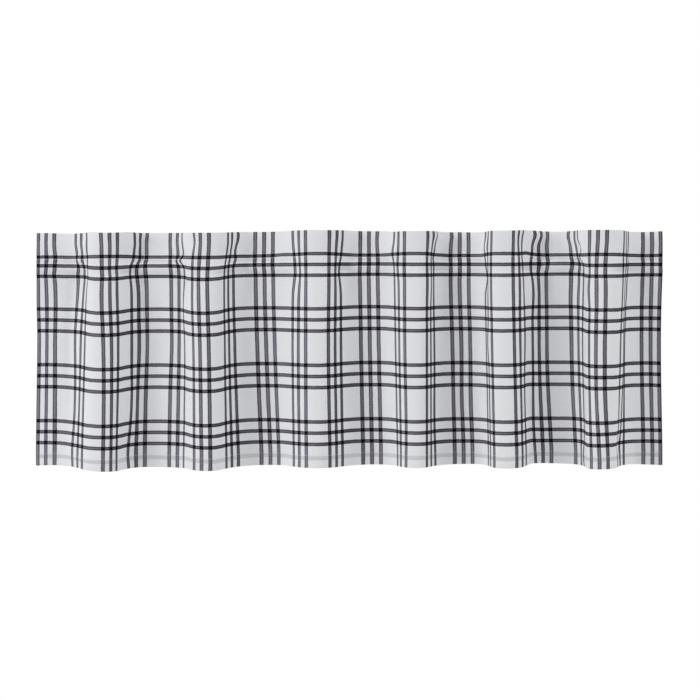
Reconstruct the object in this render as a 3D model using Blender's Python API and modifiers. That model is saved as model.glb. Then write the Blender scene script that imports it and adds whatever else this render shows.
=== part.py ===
"""Rod-pocket window valance: one gathered cloth with a header, a rod sleeve and a bottom hem.

Millimetres in the tables, metres in the scene. X runs along the top edge, Y runs
away from the room, Z is up. The origin is the middle of the top edge.
"""

import math
from collections import namedtuple

import bmesh
import bpy
import numpy as np

MM = 0.001

# The cloth laid flat
CLOTH_WIDTH = 1518.0  # side edge to side edge
CLOTH_DROP = 411.0  # top edge to bottom edge
HEADER = 47.0  # top edge down to the header seam
POCKET = 35.0  # header seam down to the lower seam of the sleeve
BOTTOM_HEM = 21.0
CLOTH_THICK = 1.2
DOUBLED_THICK = 2.2  # in the header and the bottom hem the cloth lies double

# The cloth hung
ROD_BELOW_TOP = 58.0  # top edge down to the axis of the sleeve
COLUMNS_A_FACE = 8
COLUMNS_AT_AN_EDGE = 2
FINE_STEPS = 121  # along a face while its bend is worked out
MOST_TURN = 2.2  # radians between a face and the line of the rod
MOST_SHARE = 0.999  # a face never hangs wider than its cloth
STEEP_WITHIN = 0.15  # of a face's width that its steepest place keeps from either end

# A fold line is a crest towards the room or a valley towards the window. "line" is its
# place on the cloth and "steep" is the steepest place of the face to its right, both from
# the left edge of the cloth, at the header, the sleeve and the hem. "across" is where the
# line hangs, from the middle of the valance. "sag" is how much lower this fold hangs, and
# a higher "flat" spreads the cloth out wider round the line.
Fold = namedtuple(
    "Fold",
    "name crest flat line_header line_sleeve line_hem steep_header steep_sleeve steep_hem "
    "across_header across_sleeve across_middle across_hem sag",
)
FOLDS = (
    Fold("left edge", 0.15, 1.4, 0, 0, 0, 11, 11, 11, -540, -541, -538, -541, 0.6),
    Fold("valley 0", 0, 1.4, 37, 61, 27, 103, 110, 92, -506, -482, -496, -516, 0.0),
    Fold("crest 1", 1, 1.1, 158, 147, 144, 218, 206, 192, -417, -428, -425, -427, 5.2),
    Fold("valley 1", 0, 1.8, 278, 299, 299, 347, 349, 347, -328, -307, -309, -311, 1.0),
    Fold("crest 2", 1, 1.1, 397, 397, 397, 461, 447, 430, -246, -249, -246, -243, 5.0),
    Fold("valley 2", 0, 1.4, 533, 526, 530, 600, 605, 581, -150, -156, -152, -142, -0.6),
    Fold("crest 3", 1, 1.1, 645, 645, 645, 705, 697, 690, -57, -57, -58, -55, -0.8),
    Fold("valley 3", 0, 1.4, 757, 761, 761, 819, 819, 826, 33, 36, 38, 42, -2.2),
    Fold("crest 4", 1, 1.1, 869, 869, 869, 915, 909, 903, 114, 114, 114, 114, -1.0),
    Fold("valley 4", 0, 1.4, 981, 978, 981, 1055, 1055, 1050, 191, 188, 192, 198, -1.8),
    Fold("crest 5", 1, 1.1, 1093, 1093, 1093, 1150, 1150, 1147, 262, 261, 263, 267, -0.8),
    Fold("valley 5", 0, 1.4, 1235, 1250, 1240, 1290, 1315, 1305, 357, 369, 367, 371, -2.6),
    Fold("crest 6", 1, 1.1, 1360, 1363, 1353, 1429, 1429, 1401, 434, 434, 430, 429, 1.0),
    Fold("valley 6", 0, 1.4, 1498, 1494, 1494, 1506, 1506, 1506, 523, 518, 517, 520, -1.2),
    Fold("right edge", 0.15, 1.4, *[CLOTH_WIDTH] * 3, 0, 0, 0, 540, 539, 537, 540, -1.2),
)
LINE_DOWN = (17, 76, 390)  # the levels of the header, sleeve and hem
ACROSS_DOWN = (17, 76, 200, 390)  # the levels of the header, sleeve, middle and hem

# How the cloth runs down a crest and down a valley. "forward" is towards the room from
# the axis of the sleeve, and "height" is above that axis. Valleys bend round the rod.
Level = namedtuple("Level", "down crest_forward crest_height valley_forward valley_height")
LEVELS = (
    Level(0, 34, 58.9, -13, 56.8),
    Level(30, 26, 30.2, -5, 27.6),
    Level(47, 20, 14.0, -0.4, 11.4),
    Level(51.5, 20.4, 9.6, 2.9, 8.4),
    Level(56, 21, 5.2, 6.0, 5.0),
    Level(61.4, 22, -0.2, 7.8, 0.0),
    Level(66.5, 23, -5.2, 6.7, -4.9),
    Level(73, 24, -11.6, 4.0, -10.9),
    Level(82, 26, -20.5, 0.2, -19.0),
    Level(110, 31, -48.2, -7, -45.6),
    Level(138, 36, -75.8, -13, -72.8),
    Level(200, 41, -137.6, -18, -134.4),
    Level(411, 46, -348.4, -22, -345.8),
)

# The back of the sleeve, between its two seams. It passes behind the rod.
SLEEVE_BACK = (
    Level(56, -7.0, 6.6, -7.4, 6.6),
    Level(62, -8.8, 0.0, -9.6, 0.0),
    Level(69, -7.0, -7.0, -9.0, -8.0),
)

HEADER_ROWS = (0, 8, 22, 36)
SLEEVE_ROWS = (HEADER, 51.5, 56, 61.4, 66.5, 73, HEADER + POCKET)
BODY_ROWS = (95, 115, 140, 180, 225, 275, 325, 365)
HEM_ROWS = (CLOTH_DROP - BOTTOM_HEM - 2, CLOTH_DROP - BOTTOM_HEM, CLOTH_DROP)


def through(places, values, at):
    """A smooth curve through the values, without overshoot, read at one place."""
    places = np.asarray(places, float)
    values = np.asarray(values, float)
    rises = np.diff(values) / np.diff(places)
    before, after = rises[:-1], rises[1:]
    turning = before * after <= 0
    inner = np.where(turning, 0, 2 * before * after / np.where(turning, 1, before + after))
    slopes = np.concatenate((rises[:1], inner, rises[-1:]))
    at = min(max(at, places[0]), places[-1])
    i = int(min(max(np.searchsorted(places, at) - 1, 0), len(places) - 2))
    gap = places[i + 1] - places[i]
    t = (at - places[i]) / gap
    start = (1 + 2 * t) * (1 - t) ** 2 * values[i] + t * (1 - t) ** 2 * gap * slopes[i]
    end = t * t * (3 - 2 * t) * values[i + 1] - t * t * (1 - t) * gap * slopes[i + 1]
    return start + end


def cells(row, *names):
    return [getattr(row, name) for name in names]


def column(rows, name):
    return [getattr(row, name) for row in rows]


def fold_line(fold, down):
    """(place on the cloth, steepest place to its right, place across) of a fold's line."""
    lines = cells(fold, "line_header", "line_sleeve", "line_hem")
    steeps = cells(fold, "steep_header", "steep_sleeve", "steep_hem")
    hangs = cells(fold, "across_header", "across_sleeve", "across_middle", "across_hem")
    line = np.interp(down, LINE_DOWN, lines)
    steep = np.interp(down, LINE_DOWN, steeps)
    return line, steep, through(ACROSS_DOWN, hangs, down)


def face_shape(share, steep, flat_left, flat_right, steps):
    """One face between two fold lines, as bent cloth that keeps its length.

    share is the hung width of the face over its width of cloth, and steep is where
    along it the cloth turns furthest. Returns how far across and how far over in depth
    each step has come, both from 0 to 1.
    """
    fine = np.linspace(0, 1, FINE_STEPS)
    rising = np.sin(math.pi / 2 * np.clip(fine / steep, 0, 1)) ** flat_left
    falling = np.sin(math.pi / 2 * np.clip((1 - fine) / (1 - steep), 0, 1)) ** flat_right
    bend = np.where(fine < steep, rising, falling)
    low, high = 0.0, MOST_TURN
    for _ in range(24):
        turn = (low + high) / 2
        if np.cos(turn * bend).mean() > share:
            low = turn
        else:
            high = turn
    middles = turn * (bend[1:] + bend[:-1]) / 2
    across = np.concatenate(([0], np.cumsum(np.cos(middles))))
    depth = np.concatenate(([0], np.cumsum(np.sin(middles))))
    across = np.interp(steps, fine, across / across[-1])
    return across, np.interp(steps, fine, depth / depth[-1])


def section(down):
    """(across, crestness, sag) of every column of the cloth at one level."""
    across, crest, sag = [], [], []
    for left, right in zip(FOLDS[:-1], FOLDS[1:]):
        line, steep, hangs = fold_line(left, down)
        next_line, _, next_hangs = fold_line(right, down)
        cloth, hung = next_line - line, next_hangs - hangs
        at_edge = left == FOLDS[0] or right == FOLDS[-1]
        steps = np.linspace(0, 1, (COLUMNS_AT_AN_EDGE if at_edge else COLUMNS_A_FACE) + 1)
        if across:
            steps = steps[1:]
        share = min(hung / cloth, MOST_SHARE)
        place = min(max((steep - line) / cloth, STEEP_WITHIN), 1 - STEEP_WITHIN)
        over, depth = face_shape(share, place, left.flat, right.flat, steps)
        across.extend(hangs + hung * over)
        crest.extend(left.crest + (right.crest - left.crest) * depth)
        sag.extend(left.sag + (right.sag - left.sag) * depth)
    return np.array(across), np.array(crest), np.array(sag)


def hung_row(down, levels, sagging=1.0):
    """The points of one row of the cloth, in metres."""
    across, crest, sag = section(down)
    crest_forward, crest_height, valley_forward, valley_height = (
        through(column(levels, "down"), column(levels, name), down)
        for name in Level._fields[1:]
    )
    forward = valley_forward + (crest_forward - valley_forward) * crest
    height = valley_height + (crest_height - valley_height) * crest - sagging * sag
    heights = height - ROD_BELOW_TOP
    return [(x * MM, -f * MM, z * MM) for x, f, z in zip(across, forward, heights)]


def sleeve_back_rows():
    """The rows of the sleeve's back layer between its seams. They stay on the rod's line."""
    return [hung_row(row.down, SLEEVE_BACK, 0.0) for row in SLEEVE_BACK]


def add_row(mesh, points):
    return [mesh.verts.new(point) for point in points]


def join_rows(mesh, upper, lower):
    for a, b, c, d in zip(upper[:-1], lower[:-1], lower[1:], upper[1:]):
        mesh.faces.new((a, b, c, d))


def build_valance():
    mesh = bmesh.new()
    thick = mesh.verts.layers.deform.verify()
    downs = HEADER_ROWS + SLEEVE_ROWS + BODY_ROWS + HEM_ROWS
    front = []
    for down in downs:
        row = add_row(mesh, hung_row(down, LEVELS))
        doubled = down <= HEADER or down >= CLOTH_DROP - BOTTOM_HEM
        for vert in row:
            vert[thick][0] = 1.0 if doubled else CLOTH_THICK / DOUBLED_THICK
        front.append(row)
    back = [front[downs.index(HEADER)]]
    for points in sleeve_back_rows():
        row = add_row(mesh, points)
        for vert in row:
            vert[thick][0] = CLOTH_THICK / DOUBLED_THICK
        back.append(row)
    back.append(front[downs.index(HEADER + POCKET)])
    for rows in (front, back):
        for upper, lower in zip(rows[:-1], rows[1:]):
            join_rows(mesh, upper, lower)
    data = bpy.data.meshes.new("valance")
    mesh.to_mesh(data)
    mesh.free()
    valance = bpy.data.objects.new("valance", data)
    valance.vertex_groups.new(name="thickness")
    solid = valance.modifiers.new("cloth thickness", "SOLIDIFY")
    solid.solidify_mode = "NON_MANIFOLD"
    solid.nonmanifold_thickness_mode = "FIXED"
    solid.thickness = DOUBLED_THICK * MM
    solid.vertex_group = "thickness"
    solid.offset = -1
    return valance


def cloth_material():
    material = bpy.data.materials.new("plain woven cotton")
    material.use_nodes = True
    surface = material.node_tree.nodes["Principled BSDF"]
    surface.inputs["Base Color"].default_value = (0.68, 0.68, 0.69, 1)
    surface.inputs["Roughness"].default_value = 0.9
    return material


def main():
    for old in list(bpy.data.objects):
        bpy.data.objects.remove(old, do_unlink=True)
    parts = bpy.data.collections.new("window_valance")
    bpy.context.scene.collection.children.link(parts)
    valance = build_valance()
    valance.data.materials.append(cloth_material())
    parts.objects.link(valance)


main()
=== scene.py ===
"""Window valance: one checked cotton cloth, gathered, with its seams and stitching.

The tables are in millimetres: along the cloth from its left edge, down it from its top
edge, across from the middle of the valance, forward towards the room and up.
"""

import math
from collections import namedtuple

import bpy
import numpy as np
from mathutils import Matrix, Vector


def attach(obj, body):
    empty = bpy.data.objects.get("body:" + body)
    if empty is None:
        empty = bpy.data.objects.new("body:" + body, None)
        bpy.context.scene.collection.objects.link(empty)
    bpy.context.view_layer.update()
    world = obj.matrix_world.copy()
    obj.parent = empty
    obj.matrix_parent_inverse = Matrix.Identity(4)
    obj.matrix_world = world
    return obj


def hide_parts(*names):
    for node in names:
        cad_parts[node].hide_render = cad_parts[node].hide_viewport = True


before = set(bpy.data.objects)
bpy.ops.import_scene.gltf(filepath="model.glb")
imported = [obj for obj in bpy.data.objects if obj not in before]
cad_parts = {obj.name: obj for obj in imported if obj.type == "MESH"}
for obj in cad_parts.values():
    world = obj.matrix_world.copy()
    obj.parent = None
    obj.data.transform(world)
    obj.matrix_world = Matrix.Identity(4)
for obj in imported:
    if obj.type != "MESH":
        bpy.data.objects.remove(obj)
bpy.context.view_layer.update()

MM = 0.001

# The cloth laid flat, its hems and its seams
CLOTH_WIDTH = 1518.0
CLOTH_DROP = 411.0  # top edge to bottom edge
HEADER = 47.0  # top edge down to the header seam
POCKET = 39.0  # header seam down to the lower seam of the sleeve
BELOW_POCKET = 4.0  # cloth of the back layer below the lower seam
BOTTOM_HEM = 21.0
LOWER_SEAM = HEADER + POCKET
HEM_SEAM = CLOTH_DROP - BOTTOM_HEM
ABOVE_HEM = 3.0  # cloth of the turned-up hem above its stitches
THICK = 0.45
LAYERS_APART = 1.1  # between the middles of two layers
SEWN_APART = 0.7  # the same, where they are sewn together
STITCH_PITCH = 3.2
STITCH_LONG = 2.5
STITCH_THICK = 0.42
STITCH_SIDES = 5
STITCH_RINGS = 5
STITCH_TAPER = 1.9  # 2 would bring its ends to a point
STITCH_PRESSED = 0.8  # of its thickness, out from the cloth
CLOTH_MAP = "cloth"
SQUARE_EDGE = 0.004  # of the square that the second map fills

# Stripes: the middle of the first, from one to the next, from group to group, and the width
Stripes = namedtuple("Stripes", "first pitch repeat wide")
WARP_STRIPES = Stripes(2.76, 15.5, 74.05, 7.0)
WEFT_STRIPES = Stripes(42.4, 19.05, 96.7, 6.3)
STRIPES_IN_GROUP = 3
STRIPE_SOFT = 0.3
PALE_LINE = (0.27, 0.06)  # half widths of its faded and its full part, as shares of a stripe
TURNED_IN = 14.5  # the header's top is darker down to here
TURNED_IN_SOFT = 0.6
SHOWN_ABOVE_EDGE = 16.3  # a stripe of the turned-up hem that shows through
SHOWN_WIDE = 7.05
SHOWN_SOFT = 1.0
SHOWN_WAVE = 7.0

# Finishes, by the names of the shader's sockets
COTTON_FINISH = {
    "Roughness": 0.92, "Sheen Weight": 0.02, "Sheen Roughness": 0.5, "Specular IOR Level": 0.08,
}
THREAD_FINISH = {"Roughness": 0.75, "Specular IOR Level": 0.3}
FLOOR_FINISH = {"Roughness": 0.8}

# Colours, as shares of the light that they give back
WHITE_YARN = (0.792, 0.808, 0.838, 1)
SHOWN_THROUGH = (0.62, 0.625, 0.645, 1)
WARP_EDGE = (0.109, 0.105, 0.130, 1)
WARP_DOUBLED = (0.071, 0.067, 0.086, 1)
WARP_MIDDLE = (0.208, 0.202, 0.243, 1)
WEFT_EDGE = (0.074, 0.070, 0.089, 1)
WEFT_MIDDLE = (0.151, 0.146, 0.178, 1)
CROSSING = (0.0048, 0.0036, 0.0070, 1)
THREAD_SHADE = (0.62, 0.63, 0.64, 1)
THREAD_LIT = (0.84, 0.85, 0.86, 1)
THREAD_NOISE = 400.0  # features to a metre
FLOOR_COLOUR = (0.8, 0.8, 0.8, 1)

# Painted light and shade, by the way the cloth faces
PAINTED_LIGHT_SIDE = (-0.5, -0.866, 0)  # painted light: the stripes are painted paler on faces turned this way, towards the lamp on the left
PAINTED_SHADE_TONE = 0.6  # painted shade: the stripes' tone on faces turned away from it
PAINTED_LIGHT_TONE = 0.6  # painted light, added on faces turned straight to it
PAINTED_LIGHT_FALL = 3.0  # the power by which the painted light fades on other faces
SHADED_SIDE = (0.87, -0.5, 0)  # below the header seam, faces turned this way lie in shade
SHADED_TURN = (0.45, 0.85)  # how far they are turned where it starts and where it is full
SHADED_DOWN = 66.5  # the middle of the shade
SHADED_FLAT = 3.0  # how far it is full to either side
SHADED_REACH = 9.0
SHADED_BY = -0.17

# Unevenness of the cloth: the size of its features along and down, and its seed and detail
Grain = namedtuple("Grain", "along down seed detail")
WOBBLE = Grain(9, 14, 1.7, 2.0)  # of a stripe's edges
RAGGED = Grain(1.6, 1.6, 4.1, 0.0)  # the same, thread by thread
WAVES = Grain(160, 400, 5.2, 2.0)  # of the stripe that shows through
THREADS = Grain(1.4, 130, 2.3, 2.0)
SLUBS = Grain(90, 1.5, 6.8, 2.0)
MOTTLE = Grain(1.9, 1.9, 9.2, 2.0)
GATHERS = Grain(5.5, 26, 3.9, 1.0)  # too small for the sheet, and only near the seams

# How far it shifts the edges of the stripes, changes the tone and raises the cloth
WOBBLE_SHIFT = 0.8
RAGGED_SHIFT = 0.5
MOTTLE_TONE = 0.04
MOTTLE_TONE_DARK = 0.75  # added on the stripes
THREADS_TONE = 0.06
SLUBS_TONE = 0.07
MOTTLE_HIGH = 0.10
THREADS_HIGH = 0.10
SLUBS_HIGH = 0.12
GATHERS_HIGH = 1.6
GATHERED_FROM_HEADER = 15.0  # how far the small gathers reach from each seam
GATHERED_FROM_LOWER = 13.0
GATHERED_FROM_HEM = 8.0
HEM_GATHERS = 0.3  # as a share of those at the sleeve

# The room, in metres, and the camera's lens in millimetres
BEHIND = (1, 1, 1, 1)
AMBIENT = (0.687, 0.684, 0.677, 1)
Light = namedtuple("Light", "name place size watts")
LIGHTS = (
    Light("key", (-10.36, -5.51, 2.29), 4.0, 452),
    Light("fill", (11.03, -4.01, 2.29), 4.0, 204),
)
LIGHTS_AIM = (0, 0, -0.2)
FLOOR_HEIGHT = -1.05
FLOOR_RADIUS = 1.2
FLOOR_SIDES = 96
CAMERA_AT = (0.0017, -4.0, -0.2045)
LENS = 119.46

# The cloth hung
ROD_BELOW_TOP = 58.0  # top edge down to the axis of the sleeve
COLUMNS = 360
FINE_STEPS = 121  # along a face while its bend is worked out
HALVINGS = 24  # until its bend is close enough
MOST_TURN = 2.2  # radians between a face and the line of the rod
MOST_SHARE = 0.999  # a face never hangs wider than its cloth
STEEP_WITHIN = 0.15  # of a face's width that its steepest place keeps from either end

# A fold line is a crest towards the room or a valley towards the window. "line" is its
# place on the cloth and "steep" is the steepest place of the face to its right, both from
# the left edge of the cloth, at the header, the sleeve and the hem. "across" is where the
# line hangs, from the middle of the valance. "crest" is 1 on a crest and 0 in a valley,
# "sag" is how much lower the fold hangs, and "out" how much further towards the room. A
# higher "before" or "after" lays the cloth flatter to the left or right of the line. The
# second line of a row starts at "across_header".
Fold = namedtuple(
    "Fold",
    "name crest before after line_header line_sleeve line_hem steep_header steep_sleeve steep_hem "
    "across_header across_sleeve across_middle across_hem sag out_header out_body",
)
FOLDS = (
    Fold("left edge", 0, 1.4, 1.0, 0, 0, 0, 11, 11, 11,
         -540, -541, -538, -541, 0.6, -3, -6),
    Fold("valley 0", 0, 0.6, 1.2, 37, 61, 27, 103, 110, 92,
         -506, -482, -496, -516, 0.0, 0, 0),
    Fold("crest 1", 1, 0.8, 1.2, 158, 147, 144, 218, 206, 192,
         -417, -428, -425, -427, 5.2, 0, 0),
    Fold("valley 1", 0, 1.1, 2.5, 264, 264, 264, 347, 349, 347,
         -341.5, -340, -341, -344, 1.0, 9, 10),
    Fold("crest 2", 1, 1.1, 1.1, 397, 397, 397, 461, 447, 430,
         -246, -249, -246, -243, 5.0, 0, 0),
    Fold("valley 2", 0, 1.4, 1.4, 533, 526, 530, 600, 605, 581,
         -150, -156, -152, -142, -0.6, 4, 5),
    Fold("crest 3", 1, 0.8, 1.1, 645, 645, 645, 705, 697, 690,
         -57, -57, -58, -55, -0.8, 0, 0),
    Fold("valley 3", 0, 1.4, 1.4, 757, 761, 761, 819, 819, 826,
         33, 36, 38, 42, -2.2, 6, 12),
    Fold("crest 4", 1, 1.1, 1.1, 869, 869, 869, 915, 909, 903,
         114, 114, 114, 114, -1.0, 0, 0),
    Fold("valley 4", 0, 1.4, 1.4, 981, 978, 981, 1055, 1055, 1050,
         191, 188, 192, 198, -1.8, 3, 5),
    Fold("crest 5", 1, 1.1, 1.1, 1093, 1093, 1093, 1150, 1150, 1147,
         262, 261, 263, 267, -0.8, 0, 0),
    Fold("valley 5", 0, 1.4, 1.4, 1235, 1250, 1240, 1290, 1315, 1305,
         357, 369, 367, 371, -2.6, 0, 0),
    Fold("crest 6", 1, 1.1, 1.1, 1360, 1363, 1353, 1429, 1429, 1401,
         434, 434, 430, 429, 1.0, 0, 0),
    Fold("valley 6", 0, 1.4, 1.4, 1498, 1494, 1494, 1506, 1506, 1506,
         523, 518, 517, 520, -1.2, -5, -6),
    Fold("right edge", 0.15, 1.4, 1.4, *[CLOTH_WIDTH] * 3, 0, 0, 0,
         540, 539, 537, 540, -1.2, -8, -10),
)
LINE_DOWN = (17, 76, 390)  # the levels of the header, sleeve and hem
ACROSS_DOWN = (17, 76, 200, 390)  # the levels of the header, sleeve, middle and hem
OUT_DOWN = (60, 140)  # the level where the header's value ends, and where the body's starts

# How the cloth runs down a crest and down a valley. "forward" is towards the room from
# the axis of the sleeve, "height" is above that axis, and "sags" is how much of a fold's
# own sag it takes part in.
Level = namedtuple("Level", "down crest_forward crest_height valley_forward valley_height sags")
LEVELS = (
    Level(0, 36, 58.9, -14, 56.8, 1),
    Level(30, 31, 30.2, -8, 27.6, 1),
    Level(47, 28, 14.0, -5, 11.4, 1),
    Level(51.5, 28, 9.6, -1.0, 8.4, 1),
    Level(56, 27.5, 5.2, 5.5, 5.0, 1),
    Level(61.4, 29, -0.2, 7.8, 0.0, 1),
    Level(66.5, 30, -5.2, 6.5, -4.9, 1),
    Level(73, 31, -11.6, 2.5, -10.9, 1),
    Level(82, 35, -20.5, -4, -19.0, 1),
    Level(110, 37.5, -48.2, -8, -45.6, 1),
    Level(138, 39, -75.8, -10, -72.8, 1),
    Level(200, 40, -137.6, -12, -134.4, 1),
    Level(411, 44, -348.4, -14, -345.8, 1),
)
# The back of the sleeve, from seam to seam. It passes behind the rod.
SLEEVE_BACK = (
    Level(47, 27.3, 14.0, -5.7, 11.4, 1),
    Level(56, -7.0, 6.6, -7.4, 6.6, 0),
    Level(62, -8.8, 0.0, -9.6, 0.0, 0),
    Level(69, -7.0, -7.0, -9.0, -8.0, 0),
    Level(86, 34.8, -24.4, -5.4, -22.9, 1),
)

# Rows of the sheet: a place down the cloth, and the step between rows from there on.
FRONT_ROWS = (
    (0, 3.4), (HEADER, 2.3), (LOWER_SEAM + 8, 6.6), (HEM_SEAM - 4, 3.2), (CLOTH_DROP, 0)
)
TAIL_ROWS = ((LOWER_SEAM + BELOW_POCKET, 2), (LOWER_SEAM, 0))
SLEEVE_BACK_ROWS = ((LOWER_SEAM, 3.4), (HEADER, 0))
HEADER_BACK_ROWS = ((HEADER, 4.2), (0, 0))
TURNED_UP_ROWS = ((CLOTH_DROP, 5.5), (HEM_SEAM, 3), (HEM_SEAM - ABOVE_HEM, 0))
HEADER_PARTS = 12  # the layers part over this much cloth above the header seam
HEM_PARTS = 8  # and over this much below the hem's seam

# Places where the gathering pulls the cloth sideways: the middle of the pull, how far it
# reaches along and down the cloth, and how far it shifts the cloth to the right.
Pull = namedtuple("Pull", "along down reach_along reach_down shift")
PULLS = (
    Pull(-10, 270, 14, 150, -2.6),
    Pull(0, 62, 30, 11, 1.6),
    Pull(0, 75, 12, 45, 2.2),
    Pull(44, 265, 14, 150, 2.8),
    Pull(75, 380, 12, 40, -2.6),
    Pull(78, 165, 14, 75, -3.4),
    Pull(84, 49, 12, 9, -4.2),
    Pull(94, 80, 20, 20, 2.0),
    Pull(104, 4, 10, 16, 2.2),
    Pull(110, 35, 14, 50, 3.6),
    Pull(148, 290, 16, 140, 2.0),
    Pull(152, 62, 13, 40, 3.2),
    Pull(184, 12, 12, 25, -1.6),
    Pull(224, 290, 12, 55, 2.6),
    Pull(224, 382, 12, 30, -2.6),
    Pull(230, 20, 18, 16, 3.6),
    Pull(234, 46, 22, 14, 3.2),
    Pull(236, 74, 22, 22, -3.2),
    Pull(240, 2, 22, 8, 2.4),
    Pull(246, 205, 18, 50, 2.2),
    Pull(254, 55, 10, 14, -1.6),
    Pull(297, 200, 12, 50, 2.0),
    Pull(306, 50, 14, 12, -1.4),
    Pull(318, 15, 22, 22, -2.0),
    Pull(327, 260, 12, 300, 3.2),
    Pull(328, 50, 13, 8, -8.0),
    Pull(332, 130, 10, 50, -3.2),
    Pull(334, 2, 12, 26, -2.4),
    Pull(338, 86, 10, 34, 1.8),
    Pull(368, 15, 14, 20, 3.6),
    Pull(370, 230, 13, 170, 1.6),
    Pull(374, 80, 8, 30, 1.4),
    Pull(480, 49, 9, 11, 3.2),
    Pull(482, 6, 12, 16, 5.2),
    Pull(596, 58, 14, 28, 3.4),
    Pull(600, 84, 16, 22, 2.0),
    Pull(628, 210, 14, 120, 1.8),
    Pull(690, 4, 18, 20, 1.6),
    Pull(702, 74, 11, 26, -3.9),
    Pull(778, 18, 14, 22, -2.0),
    Pull(815, 40, 13, 18, -3.6),
    Pull(833, 66, 11, 18, -2.0),
    Pull(848, 350, 14, 100, 2.2),
    Pull(903, 95, 14, 30, 1.8),
    Pull(906, 10, 20, 24, 1.7),
    Pull(920, 6, 14, 11, 3.8),
    Pull(922, 49, 8, 10, -2.0),
    Pull(922, 330, 10, 60, -1.6),
    Pull(962, 6, 14, 14, 2.2),
    Pull(988, 296, 16, 50, -1.7),
    Pull(1040, 92, 11, 16, 3.6),
    Pull(1041, 78, 8, 14, 2.4),
    Pull(1044, 28, 13, 14, -2.6),
    Pull(1055, 200, 10, 30, -2.0),
    Pull(1130, 20, 12, 20, -1.8),
    Pull(1135, 100, 14, 40, 1.3),
    Pull(1146, 0, 12, 10, 2.0),
    Pull(1146, 45, 10, 28, -1.8),
    Pull(1146, 180, 12, 70, 3.4),
    Pull(1186, 62, 12, 18, -5.0),
    Pull(1186, 350, 12, 80, -4.4),
    Pull(1190, 116, 12, 24, 1.8),
    Pull(1194, 8, 18, 13, 4.6),
    Pull(1200, 4, 24, 14, 2.8),
    Pull(1214, 160, 20, 75, 2.4),
    Pull(1220, 60, 12, 60, 1.4),
    Pull(1260, 8, 12, 12, -3.4),
    Pull(1264, 185, 16, 70, 2.0),
    Pull(1270, 86, 18, 26, 2.2),
    Pull(1288, 392, 12, 22, -2.8),
    Pull(1292, 28, 9, 9, 4.0),
    Pull(1292, 49, 9, 8, -3.0),
    Pull(1334, 104, 12, 24, -2.8),
    Pull(1360, 280, 20, 90, -3.4),
    Pull(1416, 375, 14, 18, -3.0),
    Pull(1425, 240, 11, 90, 4.0),
    Pull(1430, 52, 12, 16, 2.0),
    Pull(1495, 180, 22, 220, -1.0),
    Pull(1518, 62, 30, 11, -1.6),
    Pull(1522, 210, 20, 400, 2.5),
)

# Places where the cloth hangs lower (drop over 0) or higher than its folds alone give.
Drop = namedtuple("Drop", "along down reach_along reach_down drop")
DROPS = (
    Drop(60, 0, 40, 22, 1.2),
    Drop(60, 200, 30, 260, 1.3),
    Drop(80, 411, 90, 20, -1.9),
    Drop(85, 411, 70, 10, -1.2),
    Drop(125, 0, 22, 14, -1.4),
    Drop(150, 200, 330, 500, 1.4),
    Drop(165, 42, 50, 14, -1.6),
    Drop(200, 330, 50, 150, 0.6),
    Drop(200, 400, 40, 90, 0.9),
    Drop(205, 10, 34, 36, -1.4),
    Drop(348, 400, 22, 90, -1.6),
    Drop(380, 400, 30, 40, -0.9),
    Drop(390, 110, 60, 90, 1.3),
    Drop(405, 411, 45, 10, -0.9),
    Drop(560, 411, 50, 10, -1.0),
    Drop(573, 42, 30, 12, -1.4),
    Drop(648, 0, 45, 22, 1.8),
    Drop(700, 411, 40, 12, 0.7),
    Drop(760, 411, 900, 15, -0.8),
    Drop(815, 0, 24, 16, 1.4),
    Drop(862, 0, 45, 18, 2.2),
    Drop(900, 60, 480, 60, 0.9),
    Drop(940, 0, 190, 20, 1.9),
    Drop(1005, 411, 50, 12, -1.1),
    Drop(1020, 10, 26, 40, 1.3),
    Drop(1093, 0, 50, 20, 1.9),
    Drop(1093, 390, 40, 60, 0.9),
    Drop(1166, 42, 24, 10, -2.2),
    Drop(1166, 340, 30, 150, -2.2),
    Drop(1195, 411, 45, 12, -1.6),
    Drop(1240, 0, 30, 20, 1.8),
    Drop(1290, 400, 30, 30, 0.9),
    Drop(1314, 110, 34, 80, 1.2),
    Drop(1330, 370, 34, 45, 1.1),
    Drop(1400, 190, 45, 120, 0.8),
    Drop(1450, 411, 30, 12, -1.3),
    Drop(1462, 0, 40, 20, 1.2),
)

# Soft troughs (depth under 0) and ridges
Crease = namedtuple("Crease", "along down reach_along reach_down depth")
CREASES = (
    Crease(50, 300, 14, 170, 3),
    Crease(246, 60, 12, 150, -7),
    Crease(250, 411, 10, 40, -4),
    Crease(298, 260, 18, 230, 6.0),
    Crease(336, 300, 12, 170, 2.5),
    Crease(512, 50, 12, 60, -6),
    Crease(522, 105, 18, 34, -6),
    Crease(540, 400, 14, 40, 3),
    Crease(672, 410, 18, 60, -3),
    Crease(724, 70, 12, 40, -6),
    Crease(735, 104, 16, 30, -5),
    Crease(738, 411, 12, 30, 3),
    Crease(742, 250, 20, 170, -3),
    Crease(962, 60, 12, 150, -7),
    Crease(975, 104, 12, 34, -5),
    Crease(1030, 330, 14, 110, 3),
    Crease(1206, 411, 9, 36, -4),
    Crease(1210, 50, 14, 150, -8),
    Crease(1222, 104, 12, 34, -4),
    Crease(1470, 411, 12, 36, -6),
    Crease(1484, 60, 14, 150, -4),
)


def cells(row, *names):
    return [getattr(row, name) for name in names]


def column(rows, name):
    return [getattr(row, name) for row in rows]


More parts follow.
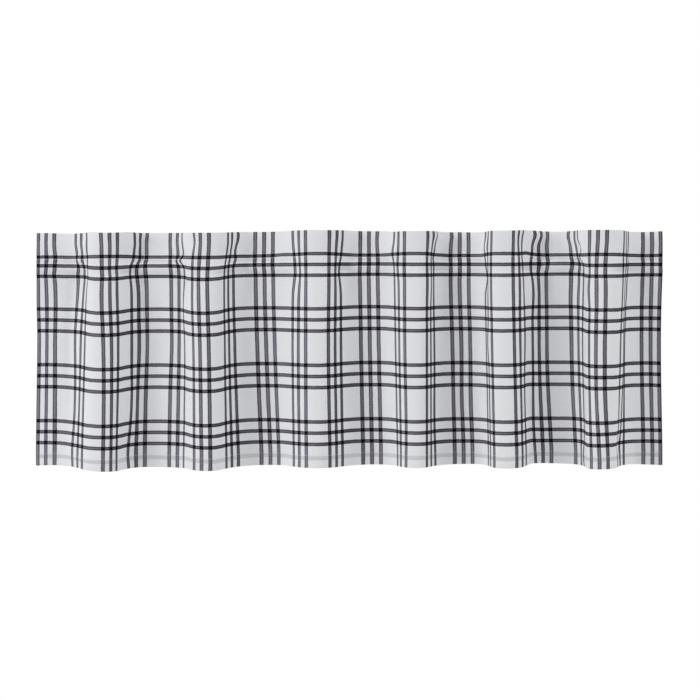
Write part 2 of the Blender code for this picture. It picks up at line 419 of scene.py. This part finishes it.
def through(places, values, at):
    """A smooth curve through the values, without overshoot, read at one place."""
    places = np.asarray(places, float)
    values = np.asarray(values, float)
    rises = np.diff(values) / np.diff(places)
    before, after = rises[:-1], rises[1:]
    turning = before * after <= 0
    inner = np.where(turning, 0, 2 * before * after / np.where(turning, 1, before + after))
    slopes = np.concatenate((rises[:1], inner, rises[-1:]))
    at = min(max(at, places[0]), places[-1])
    i = int(min(max(np.searchsorted(places, at) - 1, 0), len(places) - 2))
    gap = places[i + 1] - places[i]
    t = (at - places[i]) / gap
    start = (1 + 2 * t) * (1 - t) ** 2 * values[i] + t * (1 - t) ** 2 * gap * slopes[i]
    end = t * t * (3 - 2 * t) * values[i + 1] - t * t * (1 - t) * gap * slopes[i + 1]
    return start + end


def fold_line(fold, down):
    """(place on the cloth, steepest place to its right, place across) of a fold's line."""
    lines = cells(fold, "line_header", "line_sleeve", "line_hem")
    steeps = cells(fold, "steep_header", "steep_sleeve", "steep_hem")
    hangs = cells(fold, "across_header", "across_sleeve", "across_middle", "across_hem")
    line = np.interp(down, LINE_DOWN, lines)
    steep = np.interp(down, LINE_DOWN, steeps)
    return line, steep, through(ACROSS_DOWN, hangs, down)


def face_shape(share, steep, flat_left, flat_right):
    """(how far across, how far over in depth) of a face that keeps its length, from 0 to 1."""
    fine = np.linspace(0, 1, FINE_STEPS)
    rising = np.sin(math.pi / 2 * np.clip(fine / steep, 0, 1)) ** flat_left
    falling = np.sin(math.pi / 2 * np.clip((1 - fine) / (1 - steep), 0, 1)) ** flat_right
    bend = np.where(fine < steep, rising, falling)
    low, high = 0.0, MOST_TURN
    for _ in range(HALVINGS):
        turn = (low + high) / 2
        if np.cos(turn * bend).mean() > share:
            low = turn
        else:
            high = turn
    middles = turn * (bend[1:] + bend[:-1]) / 2
    across = np.concatenate(([0], np.cumsum(np.cos(middles))))
    depth = np.concatenate(([0], np.cumsum(np.sin(middles))))
    return across / across[-1], depth / depth[-1]


def section(down, along):
    """(across, crestness, sag, out) at these places along the cloth, at one level."""
    places, across, crest, sag, out = [], [], [], [], []
    for left, right in zip(FOLDS[:-1], FOLDS[1:]):
        line, steep, hangs = fold_line(left, down)
        next_line, _, next_hangs = fold_line(right, down)
        cloth, hung = next_line - line, next_hangs - hangs
        share = min(hung / cloth, MOST_SHARE)
        place = min(max((steep - line) / cloth, STEEP_WITHIN), 1 - STEEP_WITHIN)
        over, depth = face_shape(share, place, left.after, right.before)
        places.append(np.linspace(line, next_line, FINE_STEPS))
        across.append(hangs + hung * over)
        crest.append(left.crest + (right.crest - left.crest) * depth)
        sag.append(left.sag + (right.sag - left.sag) * depth)
        left_out, right_out = (
            np.interp(down, OUT_DOWN, cells(fold, "out_header", "out_body"))
            for fold in (left, right)
        )
        out.append(left_out + (right_out - left_out) * depth)
    places = np.concatenate(places)
    return [np.interp(along, places, np.concatenate(v)) for v in (across, crest, sag, out)]


def hill(along, down, row):
    """1 at the middle of a pull, drop or crease, falling to 0 round it."""
    off = (along - row.along) / row.reach_along
    below = (down - row.down) / row.reach_down
    return np.exp(-off * off - below * below)


def hung_row(down, along, levels):
    """Points (across, forward, up) in millimetres of one row, above the origin."""
    across, crest, sag, out = section(down, along)
    crest_forward, crest_height, valley_forward, valley_height, sags = (
        through(column(levels, "down"), column(levels, name), down)
        for name in Level._fields[1:]
    )
    forward = valley_forward + (crest_forward - valley_forward) * crest + sags * out
    up = valley_height + (crest_height - valley_height) * crest - sags * sag - ROD_BELOW_TOP
    for pull in PULLS:
        across = across + pull.shift * hill(along, down, pull)
    for drop in DROPS:
        up = up - drop.drop * hill(along, down, drop)
    for crease in CREASES:
        forward = forward + crease.depth * hill(along, down, crease)
    return np.stack((across, forward, up), axis=1)


def hung_rows(downs, along, levels=LEVELS):
    return np.array([hung_row(down, along, levels) for down in downs])


def outward(rows):
    """The cloth's unit normals, towards the room, for rows that run down the front."""
    normal = np.cross(np.gradient(rows, axis=1), np.gradient(rows, axis=0))
    return normal / np.linalg.norm(normal, axis=2, keepdims=True)


def layer_behind(downs, along, apart):
    """Rows at these distances behind the front layer, from the lowest row up."""
    front = hung_rows(downs, along)
    towards_room = -outward(front)  # as these rows run up
    return front - towards_room * np.asarray(apart, float)[:, None, None]


def places_down(*stops):
    """Places from stop to stop. A stop is a place and the step from it to the next."""
    places = []
    for (start, step), (end, _) in zip(stops[:-1], stops[1:]):
        count = max(1, round(abs(end - start) / step))
        places.extend(np.linspace(start, end, count, endpoint=False))
    places.append(stops[-1][0])
    return np.array(places)


def round_fold(edge, normals, up):
    """Three rows round a sharp fold, from the front layer to the one behind it."""
    radius = LAYERS_APART / 2
    turns = np.radians((45, 0, -45))[:, None, None]
    away = np.array((0, 0, up * radius)) * np.cos(turns)
    return edge - normals * radius * (1 - np.sin(turns)) + away


def cloth_rows(along):
    """(places down the cloth, grid of points), from the edge behind to the hem's edge."""
    round_edge = math.pi * LAYERS_APART / 2
    quarters = np.array((0.25, 0.5, 0.75)) * round_edge
    front_down = places_down(*FRONT_ROWS)
    front = hung_rows(front_down, along)
    normals = outward(front)

    tail_down = places_down(*TAIL_ROWS)
    tail = layer_behind(tail_down, along, [SEWN_APART] * len(tail_down))
    sleeve_down = places_down(*SLEEVE_BACK_ROWS)[1:-1]
    sleeve = hung_rows(sleeve_down, along, SLEEVE_BACK)
    header_down = places_down(*HEADER_BACK_ROWS)
    parting = np.interp(
        header_down, (HEADER - HEADER_PARTS, HEADER), (LAYERS_APART, SEWN_APART)
    )
    header = layer_behind(header_down, along, parting)
    back_down = np.concatenate((tail_down, sleeve_down, header_down))

    hem_down = places_down(*TURNED_UP_ROWS)
    parting = np.interp(hem_down, (HEM_SEAM, HEM_SEAM + HEM_PARTS), (SEWN_APART, LAYERS_APART))
    hem = layer_behind(hem_down, along, parting)

    top_fold = round_fold(front[0], normals[0], 1)[::-1]
    bottom_fold = round_fold(front[-1], normals[-1], -1)
    places = np.concatenate((
        -round_edge - back_down,
        -quarters[::-1],
        front_down,
        CLOTH_DROP + quarters,
        2 * CLOTH_DROP + round_edge - hem_down,
    ))
    points = np.concatenate((tail, sleeve, header, top_fold, front, bottom_fold, hem))
    return places, points


def in_scene(points):
    """Points (across, forward, up) in millimetres as (x, y, z) in metres."""
    return points * np.array((MM, -MM, MM))


def object_from(name, points, faces):
    data = bpy.data.meshes.new(name)
    data.from_pydata(points.tolist(), [], faces)
    data.shade_smooth()
    made = bpy.data.objects.new(name, data)
    bpy.context.scene.collection.objects.link(made)
    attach(made, "root")
    return made


def grid_faces(rows, columns):
    corner = [(r * columns + c) for r in range(rows - 1) for c in range(columns - 1)]
    return [(i, i + columns, i + columns + 1, i + 1) for i in corner]


def add_maps(data, along, places):
    """A map in metres of cloth, which the weave reads, and one laid out to fill a square."""
    corners = np.empty(len(data.loops), int)
    data.loops.foreach_get("vertex_index", corners)
    row, col = np.divmod(corners, len(along))
    cloth = np.stack((along[col], places[row]), axis=1) * MM
    data.uv_layers.new(name=CLOTH_MAP).uv.foreach_set("vector", cloth.ravel())

    half = len(along) // 2
    face_col = np.repeat(col.reshape(-1, 4).min(axis=1), 4)
    right = face_col >= half
    start = np.where(right, along[half], along[0])
    wide = np.where(right, along[-1] - along[half], along[half] - along[0])
    long = places[-1] - places[0]
    u = SQUARE_EDGE + (1 - 2 * SQUARE_EDGE) * (along[col] - start) / wide
    v = SQUARE_EDGE + (0.5 - 2 * SQUARE_EDGE) * (places[row] - places[0]) / long
    square = np.stack((u, v + 0.5 * right), axis=1)
    data.uv_layers.new(name="OFBake").uv.foreach_set("vector", square.ravel())


def build_cloth():
    along = np.linspace(0, CLOTH_WIDTH, COLUMNS + 1)
    places, points = cloth_rows(along)
    faces = grid_faces(len(places), len(along))
    cloth = object_from("valance_cloth", in_scene(points).reshape(-1, 3), faces)
    add_maps(cloth.data, along, places)
    solid = cloth.modifiers.new("thickness", "SOLIDIFY")
    solid.thickness = THICK * MM
    solid.offset = 0
    solid.use_even_offset = True
    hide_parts("valance")
    return cloth


def stitched_seam(name, down):
    """A row of stitches through both layers, seen on the front and on the back."""
    places = np.arange(STITCH_PITCH, CLOTH_WIDTH - STITCH_PITCH, STITCH_PITCH)
    steps = np.linspace(-0.5, 0.5, STITCH_RINGS)
    swell = np.sqrt(1 - (STITCH_TAPER * steps) ** 2)
    along = (places[:, None] + steps * STITCH_LONG).ravel()
    front = hung_rows((down - 1, down, down + 1), along)
    middle, normal = front[1], outward(front)[1]
    turns = np.linspace(0, 2 * math.pi, STITCH_SIDES, endpoint=False)
    ring = np.stack((np.cos(turns), np.sin(turns)), axis=1) * STITCH_THICK / 2
    upward = np.array((0, 0, 1.0))
    points, faces = [], []
    for side in (THICK / 2, -SEWN_APART - THICK / 2):
        centre = (middle + normal * side).reshape(len(places), STITCH_RINGS, 1, 3)
        out = normal.reshape(len(places), STITCH_RINGS, 1, 3)
        wide = ring * swell[:, None, None]
        tube = centre + out * wide[..., :1] * STITCH_PRESSED + upward * wide[..., 1:]
        start = sum(len(block) for block in points)
        points.append(tube.reshape(-1, 3))
        for stitch in range(len(places)):
            first = start + stitch * STITCH_RINGS * STITCH_SIDES
            for ring_at in range(STITCH_RINGS - 1):
                a = first + ring_at * STITCH_SIDES
                for i in range(STITCH_SIDES):
                    j = (i + 1) % STITCH_SIDES
                    b = a + STITCH_SIDES
                    faces.append((a + i, a + j, b + j, b + i))
            last = first + (STITCH_RINGS - 1) * STITCH_SIDES
            faces.append(tuple(first + i for i in reversed(range(STITCH_SIDES))))
            faces.append(tuple(last + i for i in range(STITCH_SIDES)))
    return object_from(name, in_scene(np.concatenate(points)), faces)


class Shader:
    """A material, and the nodes that lead into its Principled shader."""

    def __init__(self, name, finish):
        self.material = bpy.data.materials.new(name)
        self.material.use_nodes = True
        self.tree = self.material.node_tree
        self.surface = self.tree.nodes["Principled BSDF"]
        for socket, value in finish.items():
            self.surface.inputs[socket].default_value = value

    def join(self, value, socket):
        if isinstance(value, bpy.types.NodeSocket):
            self.tree.links.new(value, socket)
        else:
            socket.default_value = value

    def add(self, kind, *values, **settings):
        """A node with these settings, its first sockets set or linked in their order."""
        made = self.tree.nodes.new("ShaderNode" + kind)
        for name, setting in settings.items():
            setattr(made, name, setting)
        for value, socket in zip(values, made.inputs):
            self.join(value, socket)
        return made

    def maths(self, operation, *values):
        return self.add("Math", *values, operation=operation).outputs[0]

    def ease(self, value, start, end, low=0.0, high=1.0):
        """Smoothly from low, where the value is at the start, to high at the end."""
        made = self.add(
            "MapRange", value, start, end, low, high, interpolation_type="SMOOTHSTEP"
        )
        return made.outputs[0]

    def blend(self, share, first, second):
        made = self.add("Mix", share, data_type="RGBA")
        self.join(first, made.inputs[6])
        self.join(second, made.inputs[7])
        return made.outputs[2]

    def grain(self, place, kind):
        """Noise round 0 of a kind of unevenness."""
        scaled = self.add(
            "VectorMath", place, (1 / kind.along, 1 / kind.down, 0), (0, 0, kind.seed),
            operation="MULTIPLY_ADD",
        )
        noise = self.add("TexNoise", scaled.outputs[0], 0.0, 1.0, kind.detail)
        return self.maths("SUBTRACT", noise.outputs[0], 0.5)

    def near(self, place, line, reach, flat=0.0):
        """1 up to a flat distance from a line, easing to 0 at its reach."""
        off = self.maths("ABSOLUTE", self.maths("SUBTRACT", place, line))
        return self.ease(off, reach, flat)


def stripes(shader, place, row):
    """(share of dark yarn, share of the paler line along its middle)."""
    shifted = shader.maths("SUBTRACT", place, row.first - row.pitch / 2)
    in_group = shader.maths("FLOORED_MODULO", shifted, row.repeat)
    in_pitch = shader.maths("FLOORED_MODULO", in_group, row.pitch)
    off = shader.maths("ABSOLUTE", shader.maths("SUBTRACT", in_pitch, row.pitch / 2))
    edge = shader.ease(off, row.wide / 2 + STRIPE_SOFT, row.wide / 2 - STRIPE_SOFT)
    grouped = shader.maths("LESS_THAN", in_group, STRIPES_IN_GROUP * row.pitch)
    stripe = shader.maths("MULTIPLY", edge, grouped)
    faded, full = (share * row.wide for share in PALE_LINE)
    return stripe, shader.ease(off, faded, full)


def yarn_colour(shader, place, along, down):
    """(colour of the yarns, share of dark yarn) at a place on the cloth."""
    wobble = shader.maths("MULTIPLY", shader.grain(place, WOBBLE), WOBBLE_SHIFT)
    slip = shader.maths("MULTIPLY_ADD", shader.grain(place, RAGGED), RAGGED_SHIFT, wobble)
    warp, warp_line = stripes(shader, shader.maths("ADD", along, slip), WARP_STRIPES)
    weft, weft_line = stripes(shader, shader.maths("ADD", down, slip), WEFT_STRIPES)

    turned = shader.ease(down, TURNED_IN + TURNED_IN_SOFT, TURNED_IN - TURNED_IN_SOFT)
    warp_dark = shader.blend(turned, WARP_EDGE, WARP_DOUBLED)
    warp_grey = shader.blend(warp_line, warp_dark, WARP_MIDDLE)
    weft_grey = shader.blend(weft_line, WEFT_EDGE, WEFT_MIDDLE)
    wavy = shader.maths("MULTIPLY_ADD", shader.grain(place, WAVES), SHOWN_WAVE, down)
    shown_at = CLOTH_DROP - SHOWN_ABOVE_EDGE
    half = SHOWN_WIDE / 2
    shown = shader.near(wavy, shown_at, half + SHOWN_SOFT, half - SHOWN_SOFT)
    ground = shader.blend(shown, WHITE_YARN, SHOWN_THROUGH)
    between = shader.blend(warp, ground, warp_grey)
    crossed = shader.blend(warp, weft_grey, CROSSING)
    return shader.blend(weft, between, crossed), shader.maths("MAXIMUM", warp, weft)


def yarn_tone(shader, down, dark, threads, slubs, mottle):
    """How much paler or darker the yarns are: by their unevenness, and with light and shade
    painted in by the way they face.
    """
    uneven = shader.maths("MULTIPLY_ADD", dark, MOTTLE_TONE_DARK, MOTTLE_TONE)
    tone = shader.maths("MULTIPLY_ADD", mottle, uneven, 1.0)
    tone = shader.maths("MULTIPLY_ADD", threads, THREADS_TONE, tone)
    tone = shader.maths("MULTIPLY_ADD", slubs, SLUBS_TONE, tone)

    # painted light and shade: stripes paler on faces turned to the lamp on the left, darker on
    # faces turned away
    facing = shader.add("TexCoord").outputs["Normal"]
    turned_to = shader.add("VectorMath", facing, PAINTED_LIGHT_SIDE, operation="DOT_PRODUCT").outputs[1]
    painted_light = shader.maths("POWER", shader.maths("MAXIMUM", turned_to, 0.0), PAINTED_LIGHT_FALL)
    painted_light = shader.maths("MULTIPLY_ADD", painted_light, PAINTED_LIGHT_TONE, PAINTED_SHADE_TONE - 1)
    tone = shader.maths("MULTIPLY_ADD", shader.maths("MULTIPLY", dark, painted_light), tone, tone)

    # painted shade below the header seam, on faces turned to the right
    turned_off = shader.add("VectorMath", facing, SHADED_SIDE, operation="DOT_PRODUCT").outputs[1]
    shaded = shader.ease(turned_off, *SHADED_TURN, 0.0, SHADED_BY)
    in_reach = shader.near(down, SHADED_DOWN, SHADED_REACH, SHADED_FLAT)
    return shader.maths("MULTIPLY_ADD", shader.maths("MULTIPLY", shaded, in_reach), tone, tone)


def relief(shader, place, down, threads, slubs, mottle):
    """Height of the threads, and of the small gathers near the seams, in millimetres."""
    header_near = shader.near(down, HEADER, GATHERED_FROM_HEADER)
    lower_near = shader.near(down, LOWER_SEAM, GATHERED_FROM_LOWER)
    hem_near = shader.near(down, HEM_SEAM, GATHERED_FROM_HEM)
    tight = shader.maths("MAXIMUM", header_near, lower_near)
    tight = shader.maths("MULTIPLY_ADD", hem_near, HEM_GATHERS, tight)
    gathers = shader.grain(place, GATHERS)
    height = shader.maths("MULTIPLY", gathers, shader.maths("MULTIPLY", tight, GATHERS_HIGH))
    height = shader.maths("MULTIPLY_ADD", threads, THREADS_HIGH, height)
    height = shader.maths("MULTIPLY_ADD", slubs, SLUBS_HIGH, height)
    return shader.maths("MULTIPLY_ADD", mottle, MOTTLE_HIGH, height)


def cotton_material():
    shader = Shader("checked cotton", COTTON_FINISH)
    chart = shader.add("UVMap", uv_map=CLOTH_MAP).outputs[0]
    in_mm = (1 / MM, 1 / MM, 0)
    place = shader.add("VectorMath", chart, in_mm, operation="MULTIPLY").outputs[0]
    split = shader.add("SeparateXYZ", place)
    along, down = split.outputs[0], split.outputs[1]
    threads, slubs, mottle = (shader.grain(place, kind) for kind in (THREADS, SLUBS, MOTTLE))

    colour, dark = yarn_colour(shader, place, along, down)
    tone = yarn_tone(shader, down, dark, threads, slubs, mottle)
    toned = shader.add("VectorMath", colour, (0, 0, 0), (0, 0, 0), tone, operation="SCALE")
    shader.join(toned.outputs[0], shader.surface.inputs["Base Color"])

    bump = shader.add("Bump")
    bump.inputs["Distance"].default_value = MM
    shader.join(relief(shader, place, down, threads, slubs, mottle), bump.inputs["Height"])
    shader.join(bump.outputs[0], shader.surface.inputs["Normal"])
    return shader.material


def thread_material():
    shader = Shader("sewing thread", THREAD_FINISH)
    where = shader.add("TexCoord").outputs["Object"]
    noise = shader.add("TexNoise", where, 0.0, THREAD_NOISE, 2.0)
    colour = shader.blend(noise.outputs[0], THREAD_SHADE, THREAD_LIT)
    shader.join(colour, shader.surface.inputs["Base Color"])
    return shader.material


def floor_material():
    shader = Shader("pale floor", FLOOR_FINISH)
    shader.join(FLOOR_COLOUR, shader.surface.inputs["Base Color"])
    return shader.material


def build_floor():
    turns = np.linspace(0, 2 * math.pi, FLOOR_SIDES, endpoint=False)
    rim = np.stack((np.cos(turns), np.sin(turns), np.zeros(FLOOR_SIDES)), axis=1)
    data = bpy.data.meshes.new("floor")
    data.from_pydata((rim * FLOOR_RADIUS).tolist(), [], [tuple(range(FLOOR_SIDES))])
    data.materials.append(floor_material())
    floor = bpy.data.objects.new("floor", data)
    floor.location.z = FLOOR_HEIGHT
    bpy.context.scene.collection.objects.link(floor)


def add_soft_light(light):
    data = bpy.data.lights.new(light.name, "AREA")
    data.size = light.size
    data.energy = light.watts
    lamp = bpy.data.objects.new(light.name, data)
    lamp.location = light.place
    aim = Vector(LIGHTS_AIM) - lamp.location
    lamp.rotation_euler = aim.to_track_quat("-Z", "Y").to_euler()
    bpy.context.scene.collection.objects.link(lamp)


def light_the_room():
    """White behind everything, even light from all round and a soft lamp to either side."""
    scene = bpy.context.scene
    scene.view_settings.view_transform = "Standard"
    scene.world = scene.world or bpy.data.worlds.new("studio")
    scene.world.use_nodes = True
    tree = scene.world.node_tree
    tree.nodes.clear()
    seen = tree.nodes.new("ShaderNodeBackground")
    given = tree.nodes.new("ShaderNodeBackground")
    seen.inputs["Color"].default_value = BEHIND
    given.inputs["Color"].default_value = AMBIENT
    path = tree.nodes.new("ShaderNodeLightPath")
    choice = tree.nodes.new("ShaderNodeMixShader")
    output = tree.nodes.new("ShaderNodeOutputWorld")
    tree.links.new(path.outputs["Is Camera Ray"], choice.inputs[0])
    tree.links.new(given.outputs[0], choice.inputs[1])
    tree.links.new(seen.outputs[0], choice.inputs[2])
    tree.links.new(choice.outputs[0], output.inputs[0])
    for light in LIGHTS:
        add_soft_light(light)


def add_camera():
    data = bpy.data.cameras.new("camera")
    data.lens = LENS
    camera = bpy.data.objects.new("camera", data)
    camera.location = CAMERA_AT
    camera.rotation_euler = (math.pi / 2, 0, 0)
    bpy.context.scene.collection.objects.link(camera)
    bpy.context.scene.camera = camera


def main():
    cloth = build_cloth()
    cloth.data.materials.append(cotton_material())
    thread = thread_material()
    seams = [
        stitched_seam("header_stitches", HEADER),
        stitched_seam("sleeve_stitches", LOWER_SEAM),
        stitched_seam("hem_stitches", HEM_SEAM),
    ]
    for seam in seams:
        seam.data.materials.append(thread)
    build_floor()
    light_the_room()
    add_camera()


main()
